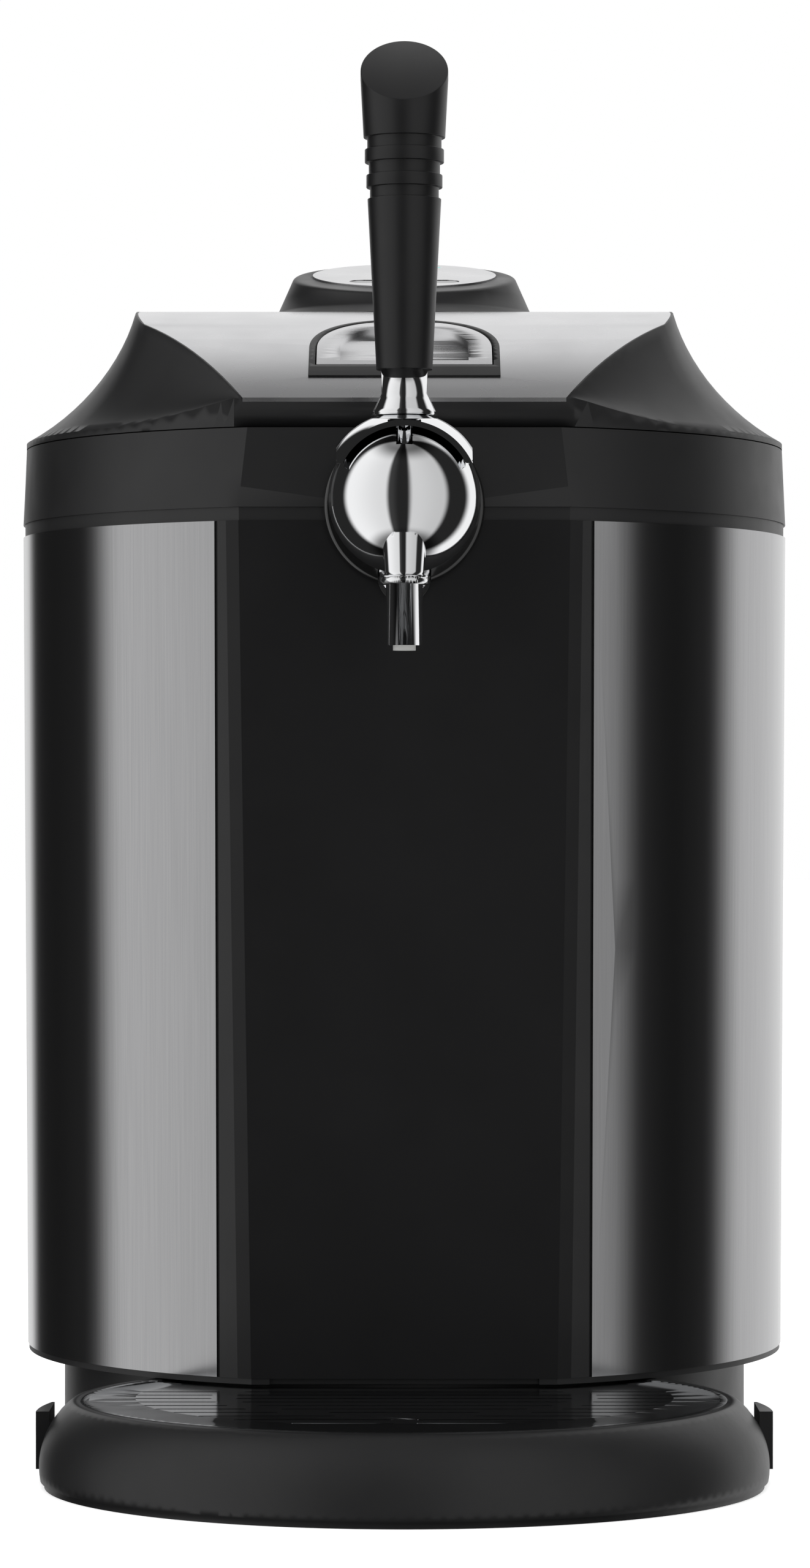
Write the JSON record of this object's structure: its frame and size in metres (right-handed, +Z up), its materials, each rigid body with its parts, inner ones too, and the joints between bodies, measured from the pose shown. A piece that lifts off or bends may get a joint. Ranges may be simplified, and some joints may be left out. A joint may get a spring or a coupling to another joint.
{
  "type": "mini keg beer dispenser",
  "caption": "Countertop drinks cooler for a mini keg, with a ball tap and lever, hinged lid with release button, sliding drip tray and rear cooling unit.",
  "frame": {"origin": "middle of the footprint's box at the standing surface", "axes": "+Z up; the tap and tray face -Y; +X is on the user's right when facing the tap"},
  "size_m": [0.2758, 0.4388, 0.4772],
  "materials": {
    "matte_black": "fine moulded texture",
    "soft_black": "smooth dark plastic",
    "panel_black": "flat and even, nearly black",
    "gloss_black": "glossy",
    "handle_black": "satin grip",
    "fan_black": "moulded",
    "brushed_steel": "brushed upright",
    "polished_steel": "polished",
    "plain_steel": "plain",
    "silver": "satin silver",
    "chrome": "mirror",
    "aluminium": "extruded",
    "liner_grey": "smooth",
    "foam": "closed cell foam",
    "seal_rubber": "soft",
    "foot_rubber": "soft",
    "module_white": "plain",
    "board_green": "coated board",
    "display_dark": "smoked lens",
    "lamp_teal": "clear lens",
    "hose_clear": "milky hose"
  },
  "bodies": {
    "dispenser": {"base_column": "matte_black", "base_plate": "matte_black", "rubber_feet": "foot_rubber", "tray_tongue": "matte_black", "body_shell": "matte_black", "base_rim": "matte_black", "front_panel": "panel_black", "steel_side_right": "brushed_steel", "steel_side_left": "brushed_steel", "trim_band": "matte_black", "collar": "matte_black", "latch_keeper": "plain_steel", "chamber_liner": "liner_grey", "insulation_foam": "foam", "chamber_gasket": "seal_rubber", "cold_block": "aluminium", "peltier_module": "module_white", "heat_sink": "aluminium", "fan_frame": "fan_black", "rear_housing": "matte_black", "housing_screws": "plain_steel", "rear_grille": "matte_black", "inlet_socket": "gloss_black", "power_board": "board_green", "hinge_bracket": "matte_black", "hinge_pins": "plain_steel", "tap_ball": "chrome", "lever_pin": "plain_steel", "tap_escutcheon": "gloss_black", "tap_shank": "chrome", "shank_nut": "chrome", "shank_block": "chrome", "shank_gasket": "seal_rubber", "tap_nozzle": "chrome", "nozzle_tip": "module_white", "shank_elbow": "fan_black", "beer_line": "hose_clear", "keg_coupler": "fan_black"},
    "lever": {"lever_saddle": "chrome", "tap_handle": "handle_black"},
    "valve": {"valve_stem": "plain_steel"},
    "lid": {"lid_shell": "matte_black", "lid_plate": "silver", "lid_inner_panel": "liner_grey", "lid_foam": "foam", "lid_hinge_arms": "matte_black", "control_pad": "matte_black", "control_disc": "silver", "display_window": "display_dark", "indicator_lens": "lamp_teal", "control_board": "board_green", "release_bezel": "soft_black", "button_spring": "plain_steel"},
    "release": {"release_button": "silver"},
    "latch": {"latch_hook": "plain_steel"},
    "tray": {"drip_tray": "matte_black"},
    "plate": {"drip_plate": "polished_steel"},
    "tray_release_left": {"tray_button_left": "soft_black"},
    "tray_release_right": {"tray_button_right": "soft_black"},
    "fan": {"fan_rotor": "fan_black"}
  },
  "joints": [
    {"name": "lever_pivot", "type": "hinge", "parent": "dispenser", "child": "lever", "pos_m": [0, -0.12675, 0.325], "axis": [1, 0, 0], "range_deg": [0, 35]},
    {"name": "valve_slide", "type": "slide", "parent": "dispenser", "child": "valve", "axis": [0, 1, 0], "range_m": [0, 0.0052]},
    {"name": "lid_hinge", "type": "hinge", "parent": "dispenser", "child": "lid", "pos_m": [0, 0.18925, 0.346], "axis": [-1, 0, 0], "range_deg": [0, 80]},
    {"name": "release_press", "type": "slide", "parent": "lid", "child": "release", "axis": [0, 0.4756, -0.8796], "range_m": [0, 0.0025], "stiffness_N_per_m": 600, "springref_m": -0.002, "deforming": ["button_spring"]},
    {"name": "latch_slide", "type": "slide", "parent": "lid", "child": "latch", "axis": [0, 1, 0], "range_m": [0, 0.0025]},
    {"name": "tray_slide", "type": "slide", "parent": "dispenser", "child": "tray", "axis": [0, -1, 0], "range_m": [0, 0.13]},
    {"name": "plate_lift", "type": "slide", "parent": "tray", "child": "plate", "axis": [0, 0, 1], "range_m": [0, 0.04]},
    {"name": "tray_press_left", "type": "slide", "parent": "tray", "child": "tray_release_left", "axis": [1, 0, 0], "range_m": [0, 0.0025], "stiffness_N_per_m": 400, "springref_m": -0.002},
    {"name": "tray_press_right", "type": "slide", "parent": "tray", "child": "tray_release_right", "axis": [-1, 0, 0], "range_m": [0, 0.0025], "stiffness_N_per_m": 400, "springref_m": -0.002},
    {"name": "fan_spin", "type": "hinge", "parent": "dispenser", "child": "fan", "pos_m": [0, 0.19925, 0.205], "axis": [0, 1, 0], "continuous": true}
  ],
  "couplings": [
    {"joint": "valve_slide", "follows": "lever_pivot", "m_per_rad": 0.0085},
    {"joint": "latch_slide", "follows": "release_press", "ratio": 1}
  ]
}
